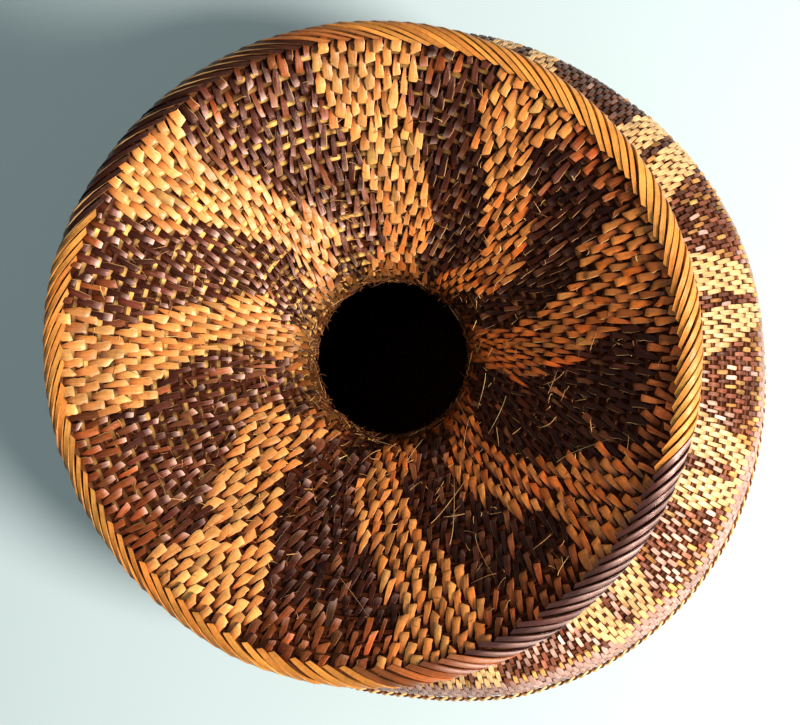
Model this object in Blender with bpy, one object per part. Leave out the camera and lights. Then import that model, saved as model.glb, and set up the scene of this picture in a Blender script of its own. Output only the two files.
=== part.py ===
"""A goblet basket: a round-bellied woven jar with a narrow neck and a wide flared mouth.

The woven wall is modelled in the stages in which it grows: base start, base floor, turn up from the base,
lower wall, belly, shoulder, collar, neck and mouth. A two-strand wale runs round the belly. Flat strips,
folded aslant over a hoop, finish the edge of the mouth.

Lengths are in metres. +Z is up, and the origin is on the floor under the middle of the base.
"""

import math

import bmesh
import bpy
from mathutils import Vector
from mathutils.geometry import interpolate_bezier

# Overall sizes
total_height = 0.235
mouth_radius = 0.115
mouth_depth = 0.066
neck_bore_radius = 0.0302
belly_radius = 0.147
belly_height = 0.100
base_radius = 0.085

# Woven fabric
wall_thickness = 0.0034
weave_relief = 0.0012
seam_gap = 0.0003
base_start_radius = 0.028

# Run of the wall between its named sizes, as shares across and up
lower_shares = ((0.50, 0.20), (0.85, 0.55))
shoulder_shares = ((0.046, 0.257), (0.22, 0.465), (0.567, 0.693), (0.845, 0.845), (0.971, 0.928))
mouth_shares = ((0.043, 0.20), (0.192, 0.355), (0.581, 0.664))
handle_share = 0.36
turn_up_knot = 1
belly_knot = len(lower_shares) + 1
collar_knot = belly_knot + 3
neck_knot = belly_knot + len(shoulder_shares) + 1
edge_knot = neck_knot + len(mouth_shares) + 1

# Folded border of the mouth
hoop_radius = 0.0027
strip_thickness = 0.0010
strip_crown = 0.0007
strip_reach_inside = 0.0015
strip_reach_under = 0.006
strip_angle = math.radians(34)
strip_runs = 12
strips_per_run = 10
first_run_angle = math.radians(-22)
wrap_start = math.radians(116)
wrap_end = math.radians(-78)
wrap_steps = 4
strip_section_shares = ((0.0, 0.0), (0.22, 0.85), (0.86, 1.0))

# Two-strand wale round the belly, which climbs a little towards one side
wale_radius = 0.0011
wale_drop = 0.011
wale_lean = 0.018
wale_high_side = math.radians(-75)

# Smoothness of the solids
round_segments = 48
neck_segments = 32
hoop_sides = 6
wale_sides = 5
samples_per_span = 12
sharp_angle = math.radians(40)

# Colour and roughness of each finish
finishes = {
    "natural_strip": ((0.62, 0.27, 0.06), 0.45),
    "black_strip": ((0.035, 0.016, 0.012), 0.40),
    "brown_strip": ((0.13, 0.035, 0.030), 0.38),
    "mouth_weave": ((0.34, 0.15, 0.045), 0.55),
    "neck_weave": ((0.20, 0.085, 0.03), 0.60),
    "shoulder_weave": ((0.36, 0.19, 0.08), 0.55),
    "belly_weave": ((0.20, 0.085, 0.055), 0.60),
    "lower_weave": ((0.26, 0.12, 0.06), 0.60),
    "base_weave": ((0.40, 0.22, 0.09), 0.65),
    "start_weave": ((0.45, 0.25, 0.10), 0.65),
    "hoop_cane": ((0.42, 0.24, 0.11), 0.55),
    "wale_cane": ((0.50, 0.30, 0.13), 0.50),
}

wrap_step = (wrap_start - wrap_end) / wrap_steps
bed_radius = (hoop_radius + seam_gap) / math.cos(wrap_step / 2)
strip_stack = bed_radius + strip_thickness + strip_crown
hoop_ring_radius = mouth_radius - strip_stack
hoop_height = total_height - strip_stack
belly_middle_radius = belly_radius - wall_thickness / 2
neck_middle_radius = neck_bore_radius + wall_thickness / 2
neck_height = total_height - mouth_depth


def clear_scene():
    for item in list(bpy.data.objects):
        bpy.data.objects.remove(item, do_unlink=True)


def finish_material(name):
    colour, roughness = finishes[name]
    material = bpy.data.materials.new(name)
    material.use_nodes = True
    shader = material.node_tree.nodes["Principled BSDF"]
    shader.inputs["Base Color"].default_value = (*colour, 1)
    shader.inputs["Roughness"].default_value = roughness
    shader.inputs["Metallic"].default_value = 0
    return material


def made_mesh(name, shape):
    """A closed mesh with its faces out, smooth but for its real edges."""
    bmesh.ops.recalc_face_normals(shape, faces=shape.faces)
    mesh = bpy.data.meshes.new(name)
    shape.to_mesh(mesh)
    shape.free()
    mesh.shade_smooth()
    mesh.set_sharp_from_angle(angle=sharp_angle)
    return mesh


def placed(name, mesh, finish):
    node = bpy.data.objects.new(name, mesh)
    bpy.context.scene.collection.objects.link(node)
    mesh.materials.append(finish_material(finish))
    return node


def between(start, end, share):
    return start + (end - start) * share


def wall_knots():
    """Points (radius, height) of the middle of the wall, from the base's edge to the mouth's edge."""
    base = (base_radius, 0)
    belly = (belly_middle_radius, belly_height)
    neck = (neck_middle_radius, neck_height)
    mouth = (hoop_ring_radius - hoop_radius - seam_gap, hoop_height - seam_gap)
    knots = [base]
    spans = ((base, belly, lower_shares), (belly, neck, shoulder_shares), (neck, mouth, mouth_shares))
    for start, end, shares in spans:
        knots += [(between(start[0], end[0], across), between(start[1], end[1], up)) for across, up in shares]
        knots.append(end)
    return [Vector(knot) for knot in knots]


def smooth_line(knots):
    """Points along a curve through the knots."""
    ahead = [(b - a).normalized() for a, b in zip(knots, knots[2:])]
    ways = [(knots[1] - knots[0]).normalized(), *ahead, (knots[-1] - knots[-2]).normalized()]
    points = []
    for start, end, leave, arrive in zip(knots, knots[1:], ways, ways[1:]):
        reach = (end - start).length * handle_share
        handles = (start + leave * reach, end - arrive * reach)
        points += interpolate_bezier(start, *handles, end, samples_per_span + 1)[:-1]
    return [*points, knots[-1]]


wall_line = smooth_line(wall_knots())
wall_lengths = [0.0]
for line_start, line_end in zip(wall_line, wall_line[1:]):
    wall_lengths.append(wall_lengths[-1] + (line_end - line_start).length)


def knot_distance(knot):
    return wall_lengths[knot * samples_per_span]


def wall_at(distance):
    """The point of the wall's middle at this length along it, and the way the wall runs there."""
    index = 1
    while index < len(wall_lengths) - 1 and wall_lengths[index] < distance:
        index += 1
    start, end = wall_line[index - 1], wall_line[index]
    share = (distance - wall_lengths[index - 1]) / (wall_lengths[index] - wall_lengths[index - 1])
    before = wall_line[max(index - 2, 0)]
    after = wall_line[min(index + 1, len(wall_line) - 1)]
    way = (start - before + end - start) * (1 - share) + (end - start + after - end) * share
    return start.lerp(end, share), way.normalized()


def beside_wall(distance, outward):
    """The point this far out of the wall's middle, or inside the basket where outward is negative."""
    point, way = wall_at(distance)
    return point + Vector((way.y, -way.x)) * outward


def at_floor(distance, outward):
    """The point beside the wall where its face meets the floor."""
    point, way = wall_at(distance)
    side = point + Vector((way.y, -way.x)) * outward
    return side - way * (side.y / way.y)


def plain_face(start, end, outward, steps):
    """Points along a face of the wall, even but for its foot on the floor."""
    points = [beside_wall(between(start, end, step / steps), outward) for step in range(steps + 1)]
    if start == 0:
        points[0] = at_floor(start, outward)
    return points


def woven_face(start, end, outward, courses):
    """Points along a face in courses like shingles: each stands out at its start and sinks to its end."""
    points = [beside_wall(start, outward)]
    for course in range(1, courses):
        rise = between(start, end, course / courses)
        sunk = outward - math.copysign(weave_relief, outward)
        points += [beside_wall(rise - weave_relief, sunk), beside_wall(rise, outward)]
    return [*points, beside_wall(end, outward)]


def turned_ring(name, loop, segments, finish):
    """A closed outline turned once round the basket's axis."""
    shape = bmesh.new()
    corners = [shape.verts.new((radius, 0, height)) for radius, height in loop]
    edges = [shape.edges.new(pair) for pair in zip(corners, corners[1:] + corners[:1])]
    turn = {"cent": (0, 0, 0), "axis": (0, 0, 1), "angle": math.tau}
    bmesh.ops.spin(shape, geom=corners + edges, steps=segments, use_merge=True, **turn)
    return placed(name, made_mesh(name, shape), finish)


def add_wall(name, knots, steps, segments, finish, faces=(plain_face, plain_face)):
    """A stage of the wall between two knots, half a seam's gap short of each neighbour.

    Its outline goes down the outer face and up the inner one, each with its own steps or courses.
    """
    start = knot_distance(knots[0]) + (0 if knots[0] == 0 else seam_gap / 2)
    end = knot_distance(knots[1]) - (0 if knots[1] == edge_knot else seam_gap / 2)
    outer, inner = (
        face(start, end, side * wall_thickness / 2, count)
        for face, side, count in zip(faces, (1, -1), steps)
    )
    return turned_ring(name, outer[::-1] + inner, segments, finish)


def add_base():
    """The flat base: a round start, and the floor woven round it out to the wall."""
    shape = bmesh.new()
    bmesh.ops.create_cone(
        shape, cap_ends=True, segments=neck_segments, radius1=base_start_radius, radius2=base_start_radius,
        depth=wall_thickness,
    )
    bmesh.ops.translate(shape, verts=shape.verts, vec=(0, 0, wall_thickness / 2))
    placed("base_start", made_mesh("base_start", shape), "start_weave")
    inner = base_start_radius + seam_gap
    outer = at_floor(0, -wall_thickness / 2).x - seam_gap
    floor = [(outer, wall_thickness), (outer, 0), (inner, 0), (inner, wall_thickness)]
    turned_ring("base_floor", floor, round_segments, "base_weave")


def rod_outline(middle, radius, sides):
    turns = [math.tau * side / sides for side in range(sides)]
    return [(middle[0] + radius * math.cos(turn), middle[1] - radius * math.sin(turn)) for turn in turns]


def add_wale():
    """The wale lies on the belly and climbs towards its high side."""
    shape = bmesh.new()
    rings = []
    for step in range(round_segments):
        angle = math.tau * step / round_segments
        climb = wale_lean * math.cos(angle - wale_high_side)
        distance = knot_distance(belly_knot) - wale_drop + climb
        middle = beside_wall(distance, wall_thickness / 2 + seam_gap + wale_radius)
        ring = [
            shape.verts.new((radius * math.cos(angle), radius * math.sin(angle), height))
            for radius, height in rod_outline(middle, wale_radius, wale_sides)
        ]
        rings.append(ring)
    for ring, following in zip(rings, rings[1:] + rings[:1]):
        for side in range(wale_sides):
            after = (side + 1) % wale_sides
            shape.faces.new((ring[side], following[side], following[after], ring[after]))
    placed("belly_wale", made_mesh("belly_wale", shape), "wale_cane")


def strip_stations():
    """Where a strip lies, from its end inside the mouth, over the hoop, to its end underneath.

    Each station is a point (radius, height) of its bed, the way out of the bed, and the length along it.
    """
    edge = wall_lengths[-1]
    lift = wall_thickness / 2 + seam_gap
    inside = beside_wall(edge - strip_reach_inside, -lift)
    under = beside_wall(edge - strip_reach_under, lift)
    centre = Vector((hoop_ring_radius, hoop_height))
    wraps = [wrap_start - wrap_step * step for step in range(wrap_steps + 1)]
    rounds = [Vector((math.cos(wrap), math.sin(wrap))) for wrap in wraps]
    points = [inside, *(centre + way * bed_radius for way in rounds), under]
    face_up = beside_wall(edge - strip_reach_inside, -lift - strip_thickness) - inside
    face_down = beside_wall(edge - strip_reach_under, lift + strip_thickness) - under
    outs = [face_up.normalized(), *rounds, face_down.normalized()]
    lengths = [0.0]
    for start, end in zip(points, points[1:]):
        lengths.append(lengths[-1] + (end - start).length)
    return list(zip(points, outs, lengths))


def strip_run_mesh(name):
    """A run of flat strips side by side, each aslant over the hoop and cut square at its inner end."""
    stations = strip_stations()
    inward = (stations[0][0] - stations[1][0]).normalized()
    lean = 1 / (math.tan(strip_angle) * hoop_ring_radius)
    run_angle = math.tau / strip_runs - seam_gap / (math.sin(strip_angle) * hoop_ring_radius)
    pitch_angle = run_angle / strips_per_run
    square_cut = pitch_angle * hoop_ring_radius * math.sin(strip_angle) * math.cos(strip_angle)
    shape = bmesh.new()

    def column(strip, across, height):
        """The corners along a strip at this share of its width, this high over its bed."""
        corners = []
        for place, (point, out, length) in enumerate(stations):
            reach = square_cut * across if place == 0 and height > strip_thickness else 0
            point = point + inward * reach + out * height
            angle = (strip + across) * pitch_angle + (length - reach) * lean
            corners.append(shape.verts.new((point.x * math.cos(angle), point.x * math.sin(angle), point.y)))
        return corners

    tops = [
        column(strip, across, strip_thickness + strip_crown * crown)
        for strip in range(strips_per_run)
        for across, crown in strip_section_shares
    ]
    tops.append(column(strips_per_run, 0, strip_thickness))
    beds = [column(strip, 0, 0) for strip in range(strips_per_run + 1)]
    for columns in (tops, beds):
        for left, right in zip(columns, columns[1:]):
            for corner in zip(left, left[1:], right[1:], right):
                shape.faces.new(corner)
    for top, bed in ((tops[0], beds[0]), (tops[-1], beds[-1])):
        for corner in zip(top, top[1:], bed[1:], bed):
            shape.faces.new(corner)
    per_strip = len(strip_section_shares)
    for strip in range(strips_per_run):
        edge = tops[strip * per_strip:(strip + 1) * per_strip + 1]
        for end in (0, -1):
            crest = [side[end] for side in edge]
            low, high = beds[strip][end], beds[strip + 1][end]
            for first, second in zip(crest[:-1], crest[1:-1]):
                shape.faces.new((low, first, second))
            shape.faces.new((low, crest[-2], high))
            shape.faces.new((high, crest[-2], crest[-1]))
    return made_mesh(name, shape)


def add_border():
    """The hoop, and the strips folded over it in runs of one colour."""
    hoop = rod_outline((hoop_ring_radius, hoop_height), hoop_radius, hoop_sides)
    turned_ring("rim_hoop", hoop, round_segments, "hoop_cane")
    colours = ["natural"] * 4 + ["black"] * 2 + ["natural"] * 4 + ["brown"] * 2
    meshes = {}
    for run, colour in enumerate(colours):
        if colour not in meshes:
            meshes[colour] = strip_run_mesh(f"{colour}_strips")
            meshes[colour].materials.append(finish_material(f"{colour}_strip"))
        number = colours[:run + 1].count(colour)
        node = bpy.data.objects.new(f"border_strips_{colour}_{number}", meshes[colour])
        node.rotation_euler.z = first_run_angle + math.tau * run / strip_runs
        bpy.context.scene.collection.objects.link(node)


def build_basket():
    clear_scene()
    add_base()
    shoulder, collar = (belly_knot + 1, collar_knot), (collar_knot, neck_knot - 1)
    neck, mouth = (neck_knot - 1, neck_knot + 1), (neck_knot + 1, edge_knot)
    add_wall("turn_up_wall", (0, turn_up_knot), (2, 2), round_segments, "lower_weave")
    add_wall("lower_wall", (turn_up_knot, belly_knot - 1), (3, 3), round_segments, "lower_weave")
    add_wall("belly_wall", (belly_knot - 1, belly_knot + 1), (5, 5), round_segments, "belly_weave")
    add_wall("shoulder_wall", shoulder, (3, 4), round_segments, "shoulder_weave", (woven_face, plain_face))
    add_wall("collar_wall", collar, (3, 3), round_segments, "shoulder_weave")
    add_wall("neck_wall", neck, (4, 4), neck_segments, "neck_weave")
    add_wall("mouth_wall", mouth, (5, 5), round_segments, "mouth_weave", (plain_face, woven_face))
    add_wale()
    add_border()


build_basket()
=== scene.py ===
"""The looks of the goblet basket: its woven splints, rods, folded border and loose fibres, float by float."""

import math

import bpy
import numpy as np
from mathutils import Euler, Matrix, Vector
from mathutils.geometry import interpolate_bezier


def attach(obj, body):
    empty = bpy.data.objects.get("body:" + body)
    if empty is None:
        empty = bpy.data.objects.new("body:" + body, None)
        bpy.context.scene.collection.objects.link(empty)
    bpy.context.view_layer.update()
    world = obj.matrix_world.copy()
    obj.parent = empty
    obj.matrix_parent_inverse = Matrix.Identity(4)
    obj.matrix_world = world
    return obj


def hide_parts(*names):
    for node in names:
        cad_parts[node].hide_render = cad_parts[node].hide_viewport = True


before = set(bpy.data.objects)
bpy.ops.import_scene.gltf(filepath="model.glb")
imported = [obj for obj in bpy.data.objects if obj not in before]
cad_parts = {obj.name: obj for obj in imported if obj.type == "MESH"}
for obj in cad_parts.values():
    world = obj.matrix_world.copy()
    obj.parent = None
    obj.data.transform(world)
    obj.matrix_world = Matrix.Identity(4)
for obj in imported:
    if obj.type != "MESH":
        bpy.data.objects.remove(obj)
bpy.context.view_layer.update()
rng = np.random.default_rng(7)

# Sizes of the basket, in metres, as in its solids
total_height = 0.235
mouth_radius = 0.115
mouth_depth = 0.066
neck_bore_radius = 0.0302
belly_radius = 0.147
belly_height = 0.100
base_radius = 0.085
wall_thickness = 0.0034
seam_gap = 0.0003
base_start_radius = 0.028
hoop_radius = 0.0027
strip_thickness = 0.0010
strip_crown = 0.0007
strip_reach_inside = 0.0015
strip_reach_under = 0.006
strip_count = 120
wrap_start = math.radians(116)
wrap_end = math.radians(-78)
wale_radius = 0.0011
wale_drop = 0.011
wale_lean = 0.018
wale_high_side = math.radians(-75)
lower_shares = ((0.50, 0.20), (0.85, 0.55))
shoulder_shares = ((0.046, 0.257), (0.22, 0.465), (0.567, 0.693), (0.845, 0.845), (0.971, 0.928))
mouth_shares = ((0.043, 0.20), (0.192, 0.355), (0.581, 0.664))
handle_share = 0.36
samples_per_span = 12

half_wall = wall_thickness / 2
wrap_quarter = (wrap_start - wrap_end) / 4
bed_radius = (hoop_radius + seam_gap) / math.cos(wrap_quarter / 2)
strip_stack = bed_radius + strip_thickness + strip_crown
hoop_ring_radius = mouth_radius - strip_stack
hoop_height = total_height - strip_stack
sharp_angle = math.radians(36)
mm = 0.001

# The photo's camera: place in metres, turn in degrees, focal length in picture points, film in millimetres
eye = (0.0899, -0.0174, 0.6778)
eye_turn = (1.70, 9.71, -0.22)
eye_height = 0.678
focal_points = 1328
picture_width = 800
film_width = 36

# Colours of the canes, linear, with colours that paint highlights and shade among them
# gold is the tan cane; orange paints the tan in shade on the mouth's right, and is also mixed in towards the
# neck
gold = (0.73, 0.300, 0.072)
orange = (0.51, 0.104, 0.010)
straw = (0.80, 0.495, 0.215)
rust = (0.22, 0.055, 0.014)
# umber and sable: the dyed cane of the mouth, painted brown where lit and near black where in shade
umber = (0.086, 0.0225, 0.0130)
sable = (0.0160, 0.0030, 0.0012)
brown = (0.155, 0.048, 0.019)
# Painted highlights on the floats' tips; the pink one also paints the sheen on the brown border strips
pale_tip_highlight = (0.98, 0.70, 0.36)
pink_highlight = (0.70, 0.44, 0.36)
# The pale edge: the undyed edge of dyed cane, and also a painted highlight on the long edges of tan floats
pale_edge = (0.72, 0.42, 0.17)
mauve = (0.40, 0.235, 0.190)
earth = (0.190, 0.062, 0.034)
# A greyer brown that paints the body's dyed cane in shade where it is dim, at the top right
shaded_earth = (0.125, 0.062, 0.045)
# A pinkish colour that paints highlights on the body's dyed floats
blush_highlight = (0.52, 0.31, 0.24)
# amber: the own colour of the loops over the body's band, and also a painted warm side light on the body's
# right
amber = (0.56, 0.27, 0.08)
root_tan = (0.42, 0.23, 0.09)
# Rod colours: the pale one is the rods' own tone lifted by painted light, the deep one paints rods in shade
mouth_rod_pale = (0.96, 0.52, 0.145)
mouth_rod_deep = (0.050, 0.010, 0.003)
body_rod_pale = (0.34, 0.11, 0.04)
body_rod_deep = (0.06, 0.016, 0.008)
# Dark colours that paint shade in gaps: the hoop's, the wall cores', and that of the ground seen between the
# floats
hoop_shade_brown = (0.10, 0.034, 0.012)
core_shade_brown = (0.02, 0.006, 0.002)
gap_shade_brown = (0.036, 0.0080, 0.0022)
border_gold = (0.60, 0.225, 0.040)
border_red = (0.36, 0.12, 0.03)
border_rust = (0.26, 0.070, 0.018)
border_black = (0.024, 0.0060, 0.0030)
border_brown = (0.062, 0.0145, 0.0100)
loose_tan = (0.50, 0.27, 0.10)
curl_tan = (0.40, 0.19, 0.06)
fringe_brown = (0.110, 0.032, 0.008)
floor_grey = (0.540, 0.640, 0.655)


def between(start, end, share):
    return start + (end - start) * share


def wall_line():
    """The middle of the wall as points (radius, height) from the base's edge to the mouth's edge."""
    base = (base_radius, 0)
    belly = (belly_radius - half_wall, belly_height)
    neck = (neck_bore_radius + half_wall, total_height - mouth_depth)
    mouth = (hoop_ring_radius - hoop_radius - seam_gap, hoop_height - seam_gap)
    knots = [base]
    spans = ((base, belly, lower_shares), (belly, neck, shoulder_shares), (neck, mouth, mouth_shares))
    for start, end, shares in spans:
        knots += [(between(start[0], end[0], across), between(start[1], end[1], up)) for across, up in shares]
        knots.append(end)
    knots = [Vector(knot) for knot in knots]
    ahead = [(b - a).normalized() for a, b in zip(knots, knots[2:])]
    ways = [(knots[1] - knots[0]).normalized(), *ahead, (knots[-1] - knots[-2]).normalized()]
    points = []
    for start, end, leave, arrive in zip(knots, knots[1:], ways, ways[1:]):
        reach = (end - start).length * handle_share
        handles = (start + leave * reach, end - arrive * reach)
        points += interpolate_bezier(start, *handles, end, samples_per_span + 1)[:-1]
    return np.array([*points, knots[-1]])


def lengths_along(points):
    """How far along a line each of its points lies."""
    return np.concatenate([[0], np.cumsum(np.linalg.norm(np.diff(points, axis=0), axis=1))])


line = wall_line()
line_length = lengths_along(line)
line_way = np.gradient(line, axis=0)
line_way /= np.linalg.norm(line_way, axis=1)[:, None]
edge_s = line_length[-1]
knot_s = line_length[::samples_per_span]
belly_s = knot_s[len(lower_shares) + 1]
collar_s = knot_s[len(lower_shares) + 4]
neck_s = knot_s[len(lower_shares) + len(shoulder_shares) + 2]
foot_s = edge_s - strip_reach_inside
depth_s = foot_s - neck_s


def wall_frame(s):
    """Radius, height, and the outward way (across, up) of the wall's middle at these lengths along it."""
    radius = np.interp(s, line_length, line[:, 0])
    height = np.interp(s, line_length, line[:, 1])
    way_r = np.interp(s, line_length, line_way[:, 0])
    way_z = np.interp(s, line_length, line_way[:, 1])
    beyond = np.maximum(s - edge_s, 0) + np.minimum(s, 0)
    return radius + way_r * beyond, height + way_z * beyond, way_z, -way_r


def floor_frame(s):
    """The same for the flat base, where s is the distance from the middle and out is down."""
    return s, np.full_like(s, half_wall), np.zeros_like(s), np.full_like(s, -1.0)


def around(degrees, pairs):
    """A value round the basket from (degrees, value) pairs."""
    places, values = zip(*pairs)
    return np.interp(np.asarray(degrees) % 360, places, values, period=360)


# How far the hand-made body and mouth edge stand out of a true round, in millimetres, by degrees
body_sway = (
    (0, 0.2), (20, 0.3), (34, -1.2), (52, -2.8), (66, -2.2), (80, -1.2), (120, 0), (240, 0), (250, -1.6),
    (258, -2.9), (268, -3.1), (278, -1.0), (286, 1.4), (302, 3.8), (318, 4.4), (330, 3.6), (346, 1.6),
)
edge_sway = ((90, 0), (122, 1.1), (145, 1.5), (166, 2.4), (186, 1.0), (200, 0), (228, -1.0), (246, 0))


def sway(s, angle):
    """How far the wall stands out of its true round here."""
    degrees = np.degrees(angle)
    body = np.interp(s, (knot_s[1], knot_s[2], belly_s + 30 * mm, collar_s), (0, 1, 1, 0))
    edge = np.interp(s, (neck_s + depth_s * 0.4, edge_s - 4 * mm), (0, 1))
    return (around(degrees, body_sway) * body + around(degrees, edge_sway) * edge) * mm


def turned_round(radius, angle, height):
    """Points at these radii, angles and heights."""
    return np.stack([radius * np.cos(angle), radius * np.sin(angle), height], axis=-1)


def on_surface(frame_of, s, angle, out):
    """Points this far out of the wall or the base, at lengths along it and angles round it."""
    radius, height, out_r, out_z = frame_of(s)
    radius = radius + out_r * out
    if frame_of is wall_frame:
        radius = radius + sway(s, angle)
    return turned_round(radius, angle, height + out_z * out + 0 * angle)


def seen_size(s):
    """How large a round of the mouth looks from above, to the eye over the basket."""
    radius, height, _, _ = wall_frame(s)
    return radius / (eye_height - height)


def mouth_share(s):
    """How far in from the border, 0, to the neck, 1, a round of the mouth looks."""
    outer, inner = seen_size(np.array([foot_s, neck_s]))
    return (outer - seen_size(s)) / (outer - inner)


# Materials


def material_nodes(name):
    material = bpy.data.materials.new(name)
    material.use_nodes = True
    tree = material.node_tree
    return material, tree, tree.nodes["Principled BSDF"]


def linked(tree, kind, inputs=None, **settings):
    """A new node with these settings, its inputs linked to sockets or set to values."""
    node = tree.nodes.new(kind)
    for key, value in settings.items():
        setattr(node, key, value)
    for key, value in (inputs or {}).items():
        if isinstance(value, bpy.types.NodeSocket):
            tree.links.new(value, node.inputs[key])
        else:
            node.inputs[key].default_value = value
    return node


def noise(tree, place, scale, detail, roughness):
    inputs = {"Vector": place, "Scale": scale, "Detail": detail, "Roughness": roughness}
    return linked(tree, "ShaderNodeTexNoise", inputs).outputs["Fac"]


def multiplied(tree, first, second):
    node = tree.nodes.new("ShaderNodeVectorMath")
    node.operation = "MULTIPLY"
    tree.links.new(first, node.inputs[0])
    tree.links.new(second, node.inputs[1])
    return node.outputs[0]


def ramp(tree, factor, stops):
    """Colours, or greys given as numbers, blended over a factor."""
    node = linked(tree, "ShaderNodeValToRGB", {"Fac": factor})
    elements = node.color_ramp.elements
    while len(elements) < len(stops):
        elements.new(0.5)
    for element, (place, value) in zip(elements, stops):
        element.position = place
        element.color = (*((value, value, value) if isinstance(value, float) else value), 1)
    return node.outputs["Color"]


def add_relief(tree, shader, heights, strength, distance):
    inputs = {"Height": heights, "Strength": strength, "Distance": distance}
    relief = linked(tree, "ShaderNodeBump", inputs)
    tree.links.new(relief.outputs["Normal"], shader.inputs["Normal"])


def cane_material(name, roughness, gloss, tint, grain, fibre_scale, bump):
    """Split cane: the strand's own colour, with long fibres, stains, scuffs and a soft gloss."""
    material, tree, shader = material_nodes(name)
    colour = linked(tree, "ShaderNodeAttribute", attribute_name="Cane").outputs["Color"]
    strand = linked(tree, "ShaderNodeUVMap", uv_map="Strand").outputs["UV"]
    stretched = linked(tree, "ShaderNodeMapping", {"Vector": strand, "Scale": (1.3, fibre_scale, 1)})
    fibres = noise(tree, stretched.outputs["Vector"], 1.0, 5.0, 0.65)
    place = linked(tree, "ShaderNodeTexCoord").outputs["Object"]
    stains = noise(tree, place, 60.0, 4.0, 0.6)
    scuffs = noise(tree, place, 700.0, 3.0, 0.6)
    fibre_shade = ramp(tree, fibres, ((0.30, 1 - grain), (0.5, 1.0), (0.68, 1 + grain * 0.6)))
    stain_shade = ramp(tree, stains, ((0.30, 0.70), (0.50, 1.0), (0.75, 1.15)))
    scuff_shade = ramp(tree, scuffs, ((0.30, 0.80), (0.55, 1.0), (0.75, 1.12)))
    wear = multiplied(tree, stain_shade, scuff_shade)
    shade = multiplied(tree, multiplied(tree, colour, fibre_shade), wear)
    tree.links.new(shade, shader.inputs["Base Color"])
    stops = ((0.3, roughness + 0.15), (0.55, roughness), (0.75, roughness - 0.07))
    tree.links.new(ramp(tree, scuffs, stops), shader.inputs["Roughness"])
    add_relief(tree, shader, fibres, bump, 0.0003)
    shader.inputs["Specular IOR Level"].default_value = gloss
    shader.inputs["Specular Tint"].default_value = (*tint, 1)
    return material


def gap_shade_material(name, colour):
    """Painted shade in the gaps of the weave: a dark, flecked ground behind the floats."""
    material, tree, shader = material_nodes(name)
    place = linked(tree, "ShaderNodeTexCoord").outputs["Object"]
    flecks = noise(tree, place, 900.0, 5.0, 0.7)
    deep, pale = (tuple(part * share for part in colour) for share in (0.4, 1.9))
    tree.links.new(ramp(tree, flecks, ((0.35, deep), (0.7, pale))), shader.inputs["Base Color"])
    add_relief(tree, shader, flecks, 0.6, 0.0006)
    shader.inputs["Roughness"].default_value = 0.85
    shader.inputs["Specular IOR Level"].default_value = 0.05
    return material


# Roughness, gloss, tint of the gloss, grain, closeness of the fibres and their relief
materials = {
    "tan": cane_material("tan_cane", 0.34, 0.45, (1.0, 0.92, 0.78), 0.28, 12.0, 0.6),
    "dark": cane_material("dyed_cane", 0.31, 0.32, (1.0, 0.55, 0.44), 0.40, 10.0, 0.9),
    "border": cane_material("border_cane", 0.34, 0.38, (1.0, 0.82, 0.60), 0.28, 12.0, 0.6),
    "border_dyed": cane_material("dyed_border_cane", 0.28, 0.80, (1.0, 0.68, 0.62), 0.40, 12.0, 0.7),
    "rod": cane_material("rod_cane", 0.50, 0.12, (1.0, 0.8, 0.6), 0.25, 5.0, 0.5),
    "gap_shade": gap_shade_material("painted_gap_shade", gap_shade_brown),
}


# Meshes

# A mesh of more triangles than this is split into several
most_triangles = 190000


def add_piece(name, corners, polygons, colours, strand_uv, bake_uv, material, nodes):
    """One object from arrays of corners, quads, corner colours and a UV for each corner of each quad."""
    mesh = bpy.data.meshes.new(name)
    mesh.vertices.add(len(corners))
    mesh.vertices.foreach_set("co", corners.astype(np.float32).ravel())
    mesh.loops.add(polygons.size)
    mesh.loops.foreach_set("vertex_index", polygons.astype(np.int32).ravel())
    mesh.polygons.add(len(polygons))
    mesh.polygons.foreach_set("loop_start", np.arange(0, polygons.size, 4, dtype=np.int32))
    mesh.update(calc_edges=True)
    mesh.polygons.foreach_set("use_smooth", np.ones(len(polygons), dtype=bool))
    mesh.set_sharp_from_angle(angle=sharp_angle)
    attribute = mesh.color_attributes.new("Cane", "FLOAT_COLOR", "POINT")
    rgba = np.concatenate([colours, np.ones((len(colours), 1))], axis=1)
    attribute.data.foreach_set("color", rgba.astype(np.float32).ravel())
    for uv_name, uv in (("OFBake", bake_uv), ("Strand", strand_uv)):
        layer = mesh.uv_layers.new(name=uv_name)
        layer.uv.foreach_set("vector", uv.astype(np.float32).ravel())
    mesh.materials.append(materials[material])
    piece = bpy.data.objects.new(name, mesh)
    bpy.context.scene.collection.objects.link(piece)
    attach(piece, "root")
    if nodes:
        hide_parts(*nodes)


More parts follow.
